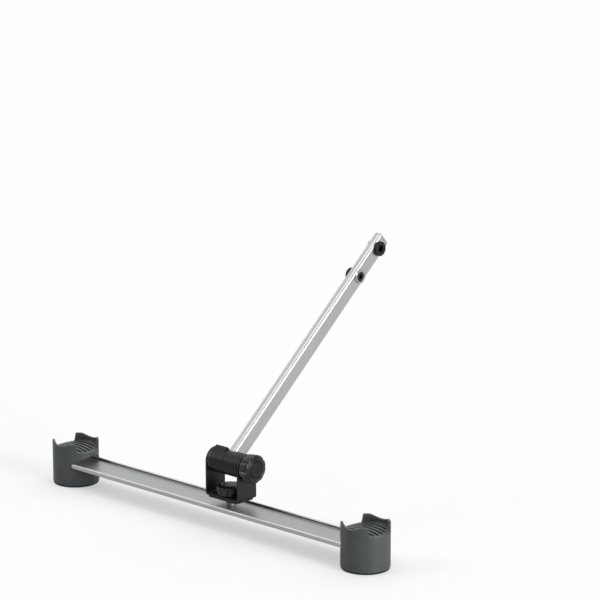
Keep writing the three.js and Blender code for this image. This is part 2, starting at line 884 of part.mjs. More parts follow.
// A flanged bush through the arm; side tells which face the wheel's hub stands against.
function axleBush(place, side) {
  const flangeFace = armFace + seat + bushFlangeThickness;
  const farFace = -armFace - seat - axleRingThickness;
  let bush = rodX(bushRadius, farFace, flangeFace, midSides);
  bush = bush.add(rodX(bushFlangeRadius, armFace + seat, flangeFace, midSides));
  bush = bush.subtract(rodX(skewerBore, farFace - cutPast, flangeFace + cutPast));
  bush = bush.subtract(rodX(axleBore, flangeFace - axleBoreDepth, flangeFace + cutPast));
  return bush.rotate([0, 0, side < 0 ? 180 : 0]).translate([0, place, 0]);
}

// The ring nut on the bush's threaded end, against the arm's other face.
function axleRing(place, side) {
  const near = armFace + seat;
  const far = near + axleRingThickness;
  const disc = rodX(axleRingRadius, near, far, midSides);
  const ring = disc.subtract(rodX(bushRadius + fit, near - cutPast, far + cutPast, midSides));
  return ring.rotate([0, 0, side < 0 ? 0 : 180]).translate([0, place, 0]);
}

// A screw pointing along +X whose head rests on the given face.
function screwAlongX(radius, length, headRadius, headHeight, x, y, z) {
  const made = screwWithHead(radius, length, headRadius, headHeight);
  return made.rotate([0, 90, 0]).translate([x, y, z]);
}

function arm() {
  const turning = new THREE.Group();
  turning.position.set(bracketX, 0, pivotHeight);
  turning.rotation.x = armLean;
  rack.add(turning);

  place("hub_left", hubLeft(), blackPlastic, turning);
  place("hub_right", hubRight(), blackPlastic, turning);
  hubScrewPlaces().forEach((z, index) => {
    const headSeat = -hubEnd + hubScrewHeadHeight + seat;
    const length = hubSeam + hubScrewReach - headSeat;
    const screw = screwAlongX(
      hubScrewRadius,
      length,
      hubScrewHeadRadius,
      hubScrewHeadHeight - seat,
      headSeat,
      -hubScrewDrop,
      z,
    );
    place("hub_screw_" + (index + 1), screw, steel, turning);
  });

  place("arm_tube", armTube(), aluminium, turning);
  place("arm_end_cap", armEndCap(), aluminium, turning);
  armScrewPlaces.forEach((y, index) => {
    const headSeat = -armFace - seat;
    const length = seat + armWall + armScrewDepth;
    const screw = screwAlongX(
      armScrewRadius,
      length,
      armScrewHeadRadius,
      armScrewHeadHeight,
      headSeat,
      y,
      0,
    );
    place("arm_screw_" + (index + 1), screw, steel, turning);
  });

  place("axle_bush_lower", axleBush(lowerAxle, -1), blackPlastic, turning);
  place("axle_ring_lower", axleRing(lowerAxle, -1), steel, turning);
  place("axle_bush_upper", axleBush(upperAxle, 1), blackPlastic, turning);
  place("axle_ring_upper", axleRing(upperAxle, 1), steel, turning);
}

// ---------------------------------------------------------------- the rack
addFoot(-1, Math.PI);
addFoot(1, 0);
place("base_rail", rail(), aluminium);
swivelStack();
pivot();
arm();

const extent = new THREE.Box3().setFromObject(rack, true);
rack.position.x = -(extent.min.x + extent.max.x) / 2;
rack.position.y = -(extent.min.y + extent.max.y) / 2;

export default rack;
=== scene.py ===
import json
import math

import bmesh
import bpy
from mathutils import Matrix, Vector


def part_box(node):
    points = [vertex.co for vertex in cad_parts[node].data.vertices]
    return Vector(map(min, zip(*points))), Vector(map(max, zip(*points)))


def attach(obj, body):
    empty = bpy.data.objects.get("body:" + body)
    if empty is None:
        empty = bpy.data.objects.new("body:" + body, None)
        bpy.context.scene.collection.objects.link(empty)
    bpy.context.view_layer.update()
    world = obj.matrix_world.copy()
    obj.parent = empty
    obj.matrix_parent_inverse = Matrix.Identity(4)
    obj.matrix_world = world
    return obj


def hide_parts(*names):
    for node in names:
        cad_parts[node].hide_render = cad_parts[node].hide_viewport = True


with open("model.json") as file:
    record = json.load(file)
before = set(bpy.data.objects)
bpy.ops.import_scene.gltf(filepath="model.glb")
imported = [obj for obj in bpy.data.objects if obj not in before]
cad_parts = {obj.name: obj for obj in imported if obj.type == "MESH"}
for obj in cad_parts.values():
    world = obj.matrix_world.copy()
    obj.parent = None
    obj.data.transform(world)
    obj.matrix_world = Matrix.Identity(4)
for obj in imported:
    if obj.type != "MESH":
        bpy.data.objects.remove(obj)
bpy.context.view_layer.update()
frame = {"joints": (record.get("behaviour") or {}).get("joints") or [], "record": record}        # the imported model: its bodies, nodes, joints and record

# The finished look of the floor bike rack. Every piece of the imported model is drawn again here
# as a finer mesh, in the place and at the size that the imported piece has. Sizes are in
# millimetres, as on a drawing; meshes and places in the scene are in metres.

MM = 0.001
record = frame["record"]

# ---------------------------------------------------------------- sizes
SEAT = 0.25
FIT = 0.3
PAST = 1.0

FOOT_WALL = 3.2
FOOT_EDGE = 1.4
SHELF_THICKNESS = 3.0
DECK_CROWN = 56.8
DECK_ARCH = 105.0
DECK_THICKNESS = 3.0
SLOTS = 6
SLOT_PITCH = 8.0
SLOT_WIDTH = 3.4
SLOT_MARGIN = 3.5
SLOT_FLARE = 0.4
RIM_THICKNESS = 3.8
RIM_HALF_ANGLE = 50.5
RIM_ROUND = 1.5
SADDLE_DIP = 4.5
SADDLE_HALF_WIDTH = 17.0
RIM_LEAST = 0.25
RIM_END = 3.4
WALL_FILLET = 1.3
WALL_LEVELS = (46.0, 38.0, 29.0, 18.0, 8.0)
DECK_SHARES = (0.12, 0.25, 0.38, 0.5, 0.62, 0.74, 0.85, 0.93)
MOUTH_RISE = 8.7
BOSS_RADIUS = 5.0
BOSS_LENGTH = 8.0
PAD_RIM_WALL = 1.6

RAIL_LIP = 3.8
RAIL_RECESS = 3.6
RAIL_LIP_ROUND = 1.6
RAIL_EDGE_ROUND = 2.4
RAIL_SCREW_RADIUS = 2.0

CLAMP_BOLT_RADIUS = 4.0
PIVOT_BOLT_RADIUS = 5.0
PLATE = 2.7
BEND = 4.0

KNOB_BACK = 20.0
KNOB_FACE = 13.2
KNOB_WIDEST_BELOW = 6.0
KNOB_SHOULDER_BELOW = 2.1
KNOB_CAP_THICKNESS = 1.6
KNOB_SCALLOPS = 10
SCALLOP_RADIUS = 3.2
SCALLOP_DEPTH = 2.5
KNOB_INSERT_LENGTH = 8.0
KNOB_INSERT_INSET = 1.2
BOLT_END_BELOW = 4.0

DRUM = 18.0
HUB_SEAM = -0.6
LUG_REACH = 15.5
LUG_ROUND = 4.0
LEDGE = 7.0
TONGUE = 50.0
HUB_SCREW_RADIUS = 2.0
HUB_SCREW_HEAD = 3.5
HUB_SCREW_HEAD_HEIGHT = 3.8
HUB_SCREW_DROP = 5.0
HUB_SCREW_OFFSET = 10.6
HUB_SCREW_REACH = 11.0

ARM_LEAN = 40.6
ARM_LENGTH = 429.0
ARM_WIDTH = 26.0
ARM_THICKNESS = 13.5
ARM_ROUND = 5.2
ARM_WALL = 1.5
ARM_CAP_HEAD = 3.0
ARM_CAP_PLUG = 8.5
ARM_SCREW_RADIUS = 2.0
ARM_SCREW_HEAD = 3.9
ARM_SCREW_HEAD_HEIGHT = 2.2
ARM_SCREW_DEPTH = 5.0
ARM_SCREW_PLACES = (24.0, 46.0)
AXLE_FROM_TIP = 20.0
AXLE_SPACING = 55.0
UPPER_AXLE = ARM_LENGTH - AXLE_FROM_TIP
LOWER_AXLE = UPPER_AXLE - AXLE_SPACING
AXLE_BORE = 5.15
AXLE_BORE_DEPTH = 11.0
SKEWER_BORE = 3.2
BUSH = 6.8
BUSH_FLANGE = 11.0
BUSH_FLANGE_THICKNESS = 5.0
AXLE_RING = 10.4
AXLE_RING_THICKNESS = 2.2

# stage and lights
FLOOR_SIZE = 60.0
FLOOR_TONE = 0.98
FLOOR_GLOW = 0.4  # share of the floor's look that shadows don't darken
FLOOR_BOUNCE = 0.55
BACK_AZIMUTH = 223.0
FRONT_LIGHT = 0.2
BACK_LIGHT = 1.0
FRONT_ENDS = -0.2  # cosines of the bearings between which the one turns into the other
BACK_STARTS = 0.7
# bearing, height and spread are in degrees: (name, bearing, height, strength, spread)
SUNS = (("side", 92.0, 10.0, 2.7, 26.0), ("left", -45.0, 35.0, 0.5, 25.0),
        ("top", 43.0, 82.0, 0.9, 50.0))

# sides of a round shape
FINE = 128
MEDIUM = 72
COARSE = 40


# ---------------------------------------------------------------- what the frame says
def box_mm(node):
    low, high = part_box(node)
    return low / MM, high / MM


def middle_mm(node):
    low, high = box_mm(node)
    return (low + high) / 2


def moved(x, y, z=0.0):
    return Matrix.Translation(Vector((x, y, z)) * MM)


def over(node):
    """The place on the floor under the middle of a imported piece."""
    centre = middle_mm(node)
    return moved(centre.x, centre.y)


def joint_mm(name):
    for joint in frame["joints"]:
        if joint["name"] == name:
            return Vector(joint["pos_m"]) / MM
    raise ValueError(name)


def body_holding(node):
    for body, members in record["behaviour"]["bodies"].items():
        if node in members:
            return body
    raise ValueError(node)


# ---------------------------------------------------------------- outlines
def rounded(corners, steps=5):
    """A closed outline of (x, y, fillet) corners, each turned into an arc of its own radius."""
    points = []
    count = len(corners)
    for index, (x, y, radius) in enumerate(corners):
        here = Vector((x, y))
        before = Vector(corners[index - 1][:2])
        after = Vector(corners[(index + 1) % count][:2])
        to_before = before - here
        to_after = after - here
        if radius <= 0:
            points.append((x, y))
            continue
        one = to_before.normalized()
        two = to_after.normalized()
        half = math.acos(max(-1.0, min(1.0, one.dot(two)))) / 2
        room = 0.49 * min(to_before.length, to_after.length)
        reach = min(radius / math.tan(half), room)
        radius = reach * math.tan(half)
        centre = here + (one + two).normalized() * (radius / math.sin(half))
        start = here + one * reach - centre
        end = here + two * reach - centre
        first = math.atan2(start.y, start.x)
        sweep = math.atan2(end.y, end.x) - first
        while sweep > math.pi:
            sweep -= 2 * math.pi
        while sweep < -math.pi:
            sweep += 2 * math.pi
        for step in range(steps + 1):
            turn = first + sweep * step / steps
            points.append((centre.x + radius * math.cos(turn), centre.y + radius * math.sin(turn)))
    return points


def rounded_box(width, height, radius, steps=6):
    x = width / 2
    y = height / 2
    return rounded([(-x, -y, radius), (x, -y, radius), (x, y, radius), (-x, y, radius)], steps)


def quarter(steps):
    """The angles of a quarter circle, from its start to its end."""
    return [math.pi / 2 * step / steps for step in range(steps + 1)]


def circle(radius, steps, x=0.0, y=0.0):
    turns = [2 * math.pi * step / steps for step in range(steps)]
    return [(x + radius * math.cos(turn), y + radius * math.sin(turn)) for turn in turns]


def hexagon(flats, edge=0.3):
    corner = flats / math.sqrt(3)
    turns = [math.radians(60 * side) for side in range(6)]
    return rounded([(corner * math.cos(t), corner * math.sin(t), edge) for t in turns], 3)


def inset(outline, amount):
    """The outline moved inwards by an amount; it runs anticlockwise and bulges everywhere."""
    moved = []
    count = len(outline)
    for index, (x, y) in enumerate(outline):
        before = Vector(outline[index - 1])
        after = Vector(outline[(index + 1) % count])
        along = (after - before).normalized()
        moved.append((x - along.y * amount, y + along.x * amount))
    return moved


def along_x(a, b, t):
    return (t, a, b)


def along_y(a, b, t):
    return (a, t, b)


def along_z(a, b, t):
    return (a, b, t)


# ---------------------------------------------------------------- solids
def solid(vertices, faces, name="shape"):
    mesh = bpy.data.meshes.new(name)
    mesh.from_pydata([Vector(v) * MM for v in vertices], [], faces)
    work = bmesh.new()
    work.from_mesh(mesh)
    bmesh.ops.recalc_face_normals(work, faces=work.faces)
    work.to_mesh(mesh)
    work.free()
    made = bpy.data.objects.new(name, mesh)
    bpy.context.scene.collection.objects.link(made)
    return made


def loft(sections):
    """A solid through outlines of equal length, closed flat at both ends."""
    count = len(sections[0])
    vertices = [point for section in sections for point in section]
    faces = [list(range(count))]
    faces.append([(len(sections) - 1) * count + index for index in range(count)])
    for level in range(len(sections) - 1):
        low = level * count
        high = low + count
        for index in range(count):
            following = (index + 1) % count
            faces.append((low + index, low + following, high + following, high + index))
    return solid(vertices, faces)


def edge_stations(place, inside, radius, steps):
    """Places towards the inside of a rounded end, each with how far the outline is drawn in."""
    return [(place + inside * radius * (1 - math.cos(turn)), radius * (1 - math.sin(turn)))
            for turn in quarter(steps)]


def bar(outline, start, end, axes, edge=0.0, steps=4, edge_end=None):
    """An outline run along an axis; its two end edges are rounded by the given radii."""
    edge_end = edge if edge_end is None else edge_end
    stations = edge_stations(start, 1, edge, steps) if edge > 0 else [(start, 0.0)]
    stations += reversed(edge_stations(end, -1, edge_end, steps)) if edge_end > 0 else [(end, 0.0)]
    sections = []
    for t, inward in stations:
        loop = inset(outline, inward) if inward > 0 else outline
        sections.append([axes(a, b, t) for a, b in loop])
    return loft(sections)


def turned(shape, turns):
    """A solid of revolution about Z. shape(turn) gives its closed outline of (radius, height)."""
    loops = [shape(turn) for turn in turns]
    count = len(loops[0])
    on_axis = [abs(r) < 1e-6 for r, _ in loops[0]]
    vertices = []
    where = []
    for number, (turn, loop) in enumerate(zip(turns, loops)):
        row = []
        for index, (r, z) in enumerate(loop):
            if on_axis[index] and number > 0:
                row.append(where[0][index])
                continue
            row.append(len(vertices))
            vertices.append((r * math.cos(turn), r * math.sin(turn), z))
        where.append(row)
    faces = []
    for number in range(len(turns)):
        one = where[number]
        two = where[(number + 1) % len(turns)]
        for index in range(count):
            following = (index + 1) % count
            if on_axis[index] and on_axis[following]:
                continue
            corners = (one[index], one[following], two[following], two[index])
            faces.append(tuple(dict.fromkeys(corners)))
    return solid(vertices, faces)


def even_turns(steps):
    return [2 * math.pi * step / steps for step in range(steps)]


def lathe(corners, steps=MEDIUM, arc_steps=4):
    outline = rounded(corners, arc_steps)
    return turned(lambda turn: outline, even_turns(steps))


def rod(radius, start, end, axes=along_z, x=0.0, y=0.0, steps=MEDIUM):
    return bar(circle(radius, steps, x, y), start, end, axes)


def washer(radius, bore, low, high, edge=0.25, steps=MEDIUM):
    corners = [(bore, low, edge), (radius, low, edge), (radius, high, edge), (bore, high, edge)]
    return lathe(corners, steps, 3)


def combine(thing, others, operation):
    """Cuts the others out of the thing, or joins them to it, and removes them."""
    for other in others:
        change = thing.modifiers.new("change", "BOOLEAN")
        change.operation = operation
        change.solver = "MANIFOLD"
        change.object = other
    bpy.context.view_layer.update()
    graph = bpy.context.evaluated_depsgraph_get()
    made = bpy.data.meshes.new_from_object(thing.evaluated_get(graph))
    thing.modifiers.clear()
    thing.data = made
    for other in others:
        bpy.data.objects.remove(other)
    if not made.polygons:
        raise ValueError("nothing is left of " + thing.name)
    return thing


def cut(thing, *others):
    return combine(thing, others, "DIFFERENCE")


def join(thing, *others):
    return combine(thing, others, "UNION")


def shift(thing, x=0.0, y=0.0, z=0.0):
    thing.data.transform(moved(x, y, z))
    return thing


def spin(thing, degrees, axis):
    thing.data.transform(Matrix.Rotation(math.radians(degrees), 4, axis))
    return thing


def soften(thing, width, steps=3, angle=50):
    """Rounds the thing's sharp edges."""
    change = thing.modifiers.new("soften", "BEVEL")
    change.width = width * MM
    change.segments = steps
    change.limit_method = "ANGLE"
    change.angle_limit = math.radians(angle)
    change.use_clamp_overlap = True
    return combine(thing, [], "UNION")


def finish_piece(node, thing, place, material, angle=32):
    """Puts a finished mesh in its place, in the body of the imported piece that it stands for."""
    thing.name = node + "_look"
    thing.data.name = thing.name
    thing.data.transform(place)
    work = bmesh.new()
    work.from_mesh(thing.data)
    bmesh.ops.remove_doubles(work, verts=work.verts, dist=1e-7)
    for face in work.faces:
        face.smooth = True
    for edge in work.edges:
        edge.smooth = edge.calc_face_angle(0.0) < math.radians(angle)
    work.to_mesh(thing.data)
    work.free()
    even = thing.modifiers.new("even_normals", "WEIGHTED_NORMAL")
    even.keep_sharp = True
    even.weight = 80
    if len(thing.data.materials) < 2:
        thing.data.materials.clear()
        thing.data.materials.append(material)
    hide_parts(node)
    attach(thing, body_holding(node))
    return thing


# ---------------------------------------------------------------- materials
class Recipe:
    """A material's node tree, with short names for what the recipes below use."""

    def __init__(self, name, turn=(0.0, 0.0, 0.0)):
        self.material = bpy.data.materials.new(name)
        self.material.use_nodes = True
        self.tree = self.material.node_tree
        self.tree.nodes.clear()
        self.output = self.tree.nodes.new("ShaderNodeOutputMaterial")
        self.shader = self.tree.nodes.new("ShaderNodeBsdfPrincipled")
        self.link(self.shader.outputs["BSDF"], self.output.inputs["Surface"])
        source = self.tree.nodes.new("ShaderNodeTexCoord")
        self.place = self.tree.nodes.new("ShaderNodeMapping")
        self.place.inputs["Rotation"].default_value = turn
        self.link(source.outputs["Object"], self.place.inputs["Vector"])
        self.heights = []

    def link(self, output, target):
        self.tree.links.new(output, target)

    def set(self, **values):
        for key, value in values.items():
            self.shader.inputs[key.replace("_", " ")].default_value = value

    def stretched(self, scale):
        node = self.tree.nodes.new("ShaderNodeMapping")
        node.inputs["Scale"].default_value = scale
        self.link(self.place.outputs["Vector"], node.inputs["Vector"])
        return node.outputs["Vector"]

    def noise(self, scale, detail=2.0, roughness=0.5, stretch=None):
        node = self.tree.nodes.new("ShaderNodeTexNoise")
        node.inputs["Scale"].default_value = scale
        node.inputs["Detail"].default_value = detail
        node.inputs["Roughness"].default_value = roughness
        vector = self.stretched(stretch) if stretch else self.place.outputs["Vector"]
        self.link(vector, node.inputs["Vector"])
        return node.outputs["Fac"]

    def speckle(self, scale):
        node = self.tree.nodes.new("ShaderNodeTexVoronoi")
        node.inputs["Scale"].default_value = scale
        self.link(self.place.outputs["Vector"], node.inputs["Vector"])
        return node.outputs["Distance"]

    def ranged(self, value, low, high, start=0.3, end=0.7):
        node = self.tree.nodes.new("ShaderNodeMapRange")
        node.inputs["From Min"].default_value = start
        node.inputs["From Max"].default_value = end
        node.inputs["To Min"].default_value = low
        node.inputs["To Max"].default_value = high
        self.link(value, node.inputs["Value"])
        return node.outputs["Result"]

    def colour(self, value, one, two):
        """Runs from one colour to the other over the middle of the value's range."""
        node = self.tree.nodes.new("ShaderNodeMix")
        node.data_type = "RGBA"
        node.inputs[6].default_value = (*one, 1.0)
        node.inputs[7].default_value = (*two, 1.0)
        self.link(self.ranged(value, 0.0, 1.0), node.inputs[0])
        self.link(node.outputs[2], self.shader.inputs["Base Color"])

    def roughness(self, value, low, high, start=0.3, end=0.7):
        self.link(self.ranged(value, low, high, start, end), self.shader.inputs["Roughness"])

    def bump(self, value, strength, distance):
        node = self.tree.nodes.new("ShaderNodeBump")
        node.inputs["Strength"].default_value = strength
        node.inputs["Distance"].default_value = distance * MM
        self.link(value, node.inputs["Height"])
        if self.heights:
            self.link(self.heights[-1], node.inputs["Normal"])
        self.heights.append(node.outputs["Normal"])
        self.link(node.outputs["Normal"], self.shader.inputs["Normal"])


def foot_plastic(name, shade=1.0):
    """Slate grey moulded plastic: a fine matt grain, slightly cloudy in tone."""
    recipe = Recipe(name)
    recipe.set(Metallic=0.0, IOR=1.48)
    cloud = recipe.noise(45.0, 4.0, 0.6)
    # a shade below 1 gives a darker copy of this plastic; the copy for the slots is painted shade
    dark = tuple(value * shade for value in (0.06, 0.067, 0.069))
    light = tuple(value * shade for value in (0.078, 0.087, 0.09))
    recipe.colour(cloud, dark, light)
    grain = recipe.noise(1500.0, 3.0, 0.6)
    recipe.roughness(grain, 0.36, 0.5)
    recipe.bump(grain, 0.3, 0.05)
    recipe.bump(recipe.speckle(900.0), 0.12, 0.05)
    return recipe.material


def black_plastic():
    """Black moulded plastic, satin, with a light mould texture."""
    recipe = Recipe("black_plastic")
    recipe.set(Metallic=0.0, IOR=1.37)
    cloud = recipe.noise(60.0, 4.0, 0.6)
    recipe.colour(cloud, (0.0065, 0.0072, 0.0078), (0.0115, 0.0125, 0.0135))
    grain = recipe.noise(1700.0, 3.0, 0.6)
    recipe.roughness(grain, 0.36, 0.5)
    recipe.bump(grain, 0.25, 0.05)
    return recipe.material


def knob_plastic():
    """Black moulded plastic with a soft gloss and a few faint rubs."""
    recipe = Recipe("knob_plastic")
    recipe.set(Metallic=0.0, IOR=1.5)
    cloud = recipe.noise(70.0, 3.0, 0.5)
    recipe.colour(cloud, (0.0105, 0.0115, 0.0135), (0.0155, 0.017, 0.0195))
    rub = recipe.noise(260.0, 5.0, 0.65)
    recipe.roughness(rub, 0.15, 0.27)
    recipe.bump(recipe.noise(900.0, 2.0, 0.5), 0.1, 0.03)
    return recipe.material


def rubber():
    """Matt black rubber with a dusty bloom."""
    recipe = Recipe("rubber")
    recipe.set(Metallic=0.0, IOR=1.5)
    bloom = recipe.noise(90.0, 5.0, 0.65)
    recipe.colour(bloom, (0.012, 0.012, 0.012), (0.022, 0.022, 0.021))
    grain = recipe.noise(2200.0, 2.0, 0.6)
    recipe.roughness(grain, 0.72, 0.9)
    recipe.bump(grain, 0.3, 0.05)
    return recipe.material


def black_steel():
    """Powder-coated steel: black, satin, with a faint orange peel."""
    recipe = Recipe("black_steel")
    recipe.set(Metallic=0.0, IOR=1.46)
    cloud = recipe.noise(80.0, 3.0, 0.5)
    recipe.colour(cloud, (0.0075, 0.0082, 0.0082), (0.012, 0.0128, 0.0128))
    peel = recipe.noise(800.0, 2.0, 0.45)
    recipe.roughness(peel, 0.34, 0.46)
    recipe.bump(peel, 0.3, 0.05)
    recipe.bump(recipe.noise(2600.0, 2.0, 0.5), 0.1, 0.03)
    return recipe.material


def drawn_aluminium(name, tone, rough, turn=(0.0, 0.0, 0.0), stretch=(1.0, 90.0, 90.0)):
    """Anodised aluminium with the fine lengthwise grain of a drawn bar."""
    recipe = Recipe(name, turn)
    recipe.set(Metallic=0.85, IOR=1.5)
    grain = recipe.noise(16.0, 6.0, 0.62, stretch)
    light = tuple(value * 1.04 for value in tone)
    dark = tuple(value * 0.95 for value in tone)
    recipe.colour(grain, dark, light)
    recipe.roughness(grain, rough - 0.05, rough + 0.06)
    recipe.bump(grain, 0.12, 0.02)
    recipe.bump(recipe.noise(2400.0, 2.0, 0.5), 0.06, 0.02)
    return recipe.material


def bright_steel():
    """Zinc-plated steel, turned, with a slightly mottled shine."""
    recipe = Recipe("bright_steel")
    recipe.set(Metallic=1.0, IOR=2.0)
    mottle = recipe.noise(420.0, 4.0, 0.6)
    recipe.colour(mottle, (0.5, 0.51, 0.52), (0.66, 0.665, 0.67))
    recipe.roughness(mottle, 0.2, 0.36)
    recipe.bump(recipe.noise(1800.0, 3.0, 0.6), 0.12, 0.02)
    return recipe.material


# ---------------------------------------------------------------- feet
def deck(x, drop=0.0):
    side = min(abs(x), DECK_ARCH)
    return DECK_CROWN - drop - DECK_ARCH + math.sqrt(DECK_ARCH**2 - side**2)


def saddle(x, rim_top):
    """Height of an end wall's top: level at its ends and hollowed in between."""
    radius = (SADDLE_HALF_WIDTH**2 + SADDLE_DIP**2) / (2 * SADDLE_DIP)
    side = min(abs(x), SADDLE_HALF_WIDTH + 1.5)
    dip = rim_top - SADDLE_DIP + radius - math.sqrt(max(radius**2 - side**2, 0.0))
    gap = rim_top - dip
    blend = 1.2
    return rim_top - 0.5 * (gap + math.sqrt(gap**2 + blend**2)) + 0.5 * blend * 0.35


def foot_turns():
    """Angles round the foot, closer together at the ends of its two walls."""
    ends = [90 + side * RIM_HALF_ANGLE + half for half in (0, 180) for side in (-1, 1)]
    angles = set(float(angle) for angle in range(0, 360, 2))
    reach = 6.0
    step = 0.35
    for end in ends:
        angles = set(a for a in angles if abs(a - end % 360) > reach)
        count = int(2 * reach / step)
        angles |= set(end % 360 - reach + step * number for number in range(count + 1))
    return [math.radians(angle) for angle in sorted(angles)]


def foot_shell(node, material, slot_painted_shade):
    low, high = box_mm(node)
    radius = (high.x - low.x) / 2
    bottom = low.z
    rim_top = high.z
    inner = radius - RIM_THICKNESS
    rail_low, rail_high = box_mm("base_rail")
    shelf_top = rail_low.z - SEAT
    shelf_bottom = shelf_top - SHELF_THICKNESS
    bore = radius - FOOT_WALL
    arc = quarter(5)
    hair = 0.0005

    def outline(turn):
        away = abs((math.degrees(turn) % 180) - 90)
        inside = math.radians(RIM_HALF_ANGLE - away) * radius
        part = max(0.0, min(1.0, (inside + 1.0) / RIM_END))
        rise = part * part * (3 - 2 * part)
        floor = deck(inner * math.cos(turn))
        tall = saddle(radius * math.cos(turn), rim_top)
        top = floor + RIM_LEAST + rise * (tall - floor - RIM_LEAST)
        height = top - floor
        fillet = min(WALL_FILLET, height / 2)
        edge = min(RIM_ROUND, height / 2)
        points = [(0.0, deck(0.0))]
        for share in DECK_SHARES:
            r = share * (inner - WALL_FILLET)
            points.append((r, deck(r * math.cos(turn))))
        start = inner - fillet
        points.append((start - 0.05, deck((start - 0.05) * math.cos(turn))))
        for step, angle in enumerate(arc[1:], 1):
            points.append((start + fillet * math.sin(angle),
                           floor + fillet * (1 - math.cos(angle)) + hair * step))
        points += [(inner + edge * (1 - math.cos(angle)), top - edge * (1 - math.sin(angle)))
                   for angle in arc]
        points += [(radius - edge * (1 - math.sin(angle)), top - edge * (1 - math.cos(angle)))
                   for angle in arc]
        points += [(radius, level) for level in WALL_LEVELS]
        points += [(radius - FOOT_EDGE * (1 - math.cos(angle)),
                    bottom + FOOT_EDGE * (1 - math.sin(angle))) for angle in arc]
        points.append((0.0, bottom))
        return points

    body = turned(outline, foot_turns())

    def chamber_outline(turn):
        points = [(0.0, shelf_top), (bore, shelf_top)]
        for share in (1.0, 0.8, 0.6, 0.4, 0.2, 0.0):
            r = share * bore
            points.append((r, deck(r * math.cos(turn), DECK_THICKNESS)))
        return points

    chamber = turned(chamber_outline, even_turns(MEDIUM))
    below = rod(bore, bottom - PAST, shelf_bottom, steps=FINE)
    mouth = bar(mouth_outline(shelf_top, rail_low, rail_high), -radius - PAST, 0.0, along_x)
    cut(body, below, chamber, mouth, *deck_slots(bore))
    bosses = []
    holes = []
    for name in ("rail_screw_1", "rail_screw_2"):
        place = middle_mm(node.replace("foot_shell", name)) - middle_mm(node)
        bosses.append(rod(BOSS_RADIUS, shelf_bottom - BOSS_LENGTH, shelf_bottom + 0.5,
                          x=place.x, y=place.y, steps=COARSE))
        holes.append(rod(RAIL_SCREW_RADIUS + FIT, bottom, shelf_top + PAST,
                         x=place.x, y=place.y, steps=COARSE))
    join(body, *bosses)
    cut(body, *holes)
    spin(body, 180 if low.x < 0 else 0, "Z")

    # the slots' inner sides get a much darker copy of the plastic: painted shade, for the shade
    # deep in the slots
    body.data.materials.clear()
    body.data.materials.append(material)
    body.data.materials.append(slot_painted_shade)
    for face in body.data.polygons:
        x, y, z = face.center / MM
        near = math.hypot(x, y) < bore - SLOT_MARGIN + 0.3
        in_slot = near and 0.5 < deck(x) - z < DECK_THICKNESS + 1
        face.material_index = 1 if in_slot and abs(face.normal.z) < 0.6 else 0
    finish_piece(node, body, over(node), material, 38)


def mouth_outline(shelf_top, rail_low, rail_high):
    half = (rail_high.y - rail_low.y) / 2 + FIT
    crown = rail_high.z + FIT + MOUTH_RISE
    radius = (half**2 + MOUTH_RISE**2) / (2 * MOUTH_RISE)
    spread = math.asin(half / radius)
    points = [(-half, shelf_top), (half, shelf_top)]
    steps = 24
    for step in range(steps + 1):
        turn = spread - 2 * spread * step / steps
        points.append((radius * math.sin(turn), crown - radius + radius * math.cos(turn)))
    return points


def deck_slots(bore):
    """Cutters for the slots in the deck, a little wider at its surface."""
    reach = bore - SLOT_MARGIN
    half = SLOT_WIDTH / 2
    cutters = []
    for slot in range(SLOTS):
        y = (slot - (SLOTS - 1) / 2) * SLOT_PITCH
        length = math.sqrt(reach**2 - y**2)
        stations = [length - half + half * math.sin(math.radians(a)) for a in (0, 25, 50, 70, 85)]
        steps = 18
        straight = [(length - half) * (2 * step / steps - 1) for step in range(1, steps)]
        places = sorted([-s for s in stations] + straight + stations)
        sections = []
        for x in places:
            over = max(abs(x) - (length - half), 0.0)
            width = math.sqrt(max(half**2 - over**2, 0.0025))
            surface = deck(x)
            wide = width + SLOT_FLARE
            side = [(width, surface - DECK_THICKNESS - 2.0), (width, surface - 2 * SLOT_FLARE),
                    (width + 0.3 * SLOT_FLARE, surface - 0.7 * SLOT_FLARE), (wide, surface + 0.02),
                    (wide, surface + 2.0)]
            loop = side + [(-w, z) for w, z in reversed(side)]
            sections.append([(x, y + w, z) for w, z in loop])
        cutters.append(loft(sections))
    return cutters


def foot_pad(node, material):
    low, high = box_mm(node)
    outer = (high.x - low.x) / 2
    shell_low, shell_high = box_mm(node.replace("pad", "shell"))
    rim = (shell_high.x - shell_low.x) / 2 - FOOT_WALL - FIT
    top = shell_low.z - SEAT
    inner = rim - PAD_RIM_WALL
    corners = [(inner, 0.0, 0.3), (inner + 1.2, 0.0, 0.2), (inner + 1.5, 0.5, 0.1),
               (inner + 1.9, 0.5, 0.1), (inner + 2.2, 0.0, 0.2), (outer - 1.4, 0.0, 0.2),
               (outer - 1.1, 0.5, 0.1), (outer - 0.9, 0.5, 0.1), (outer - 0.6, 0.0, 0.2),
               (outer, 0.0, 0.3), (outer, top, 0.5), (rim, top, 0.2), (rim, high.z, 0.4),
               (inner, high.z, 0.4)]
    finish_piece(node, lathe(corners, FINE, 3), over(node), material)


# ---------------------------------------------------------------- screws, bolts, washers
def pan_screw(radius, length, head, head_height, recess=1.3):
    """A screw along +Z with its head below zero and a hexagon socket in it."""
    corners = [(0.0, -head_height, 0.0), (head * 0.8, -head_height, head_height * 0.5),
               (head, -head_height * 0.35, head_height * 0.3), (head, 0.0, 0.15),
               (radius, 0.0, 0.2), (radius, length - 0.5, 0.1), (radius - 0.5, length, 0.1),
               (0.0, length, 0.0)]
    made = lathe(corners, COARSE, 4)
    socket = bar(hexagon(radius * 1.5, 0.1), -head_height - PAST, -head_height + recess, along_z)
    return cut(made, socket)


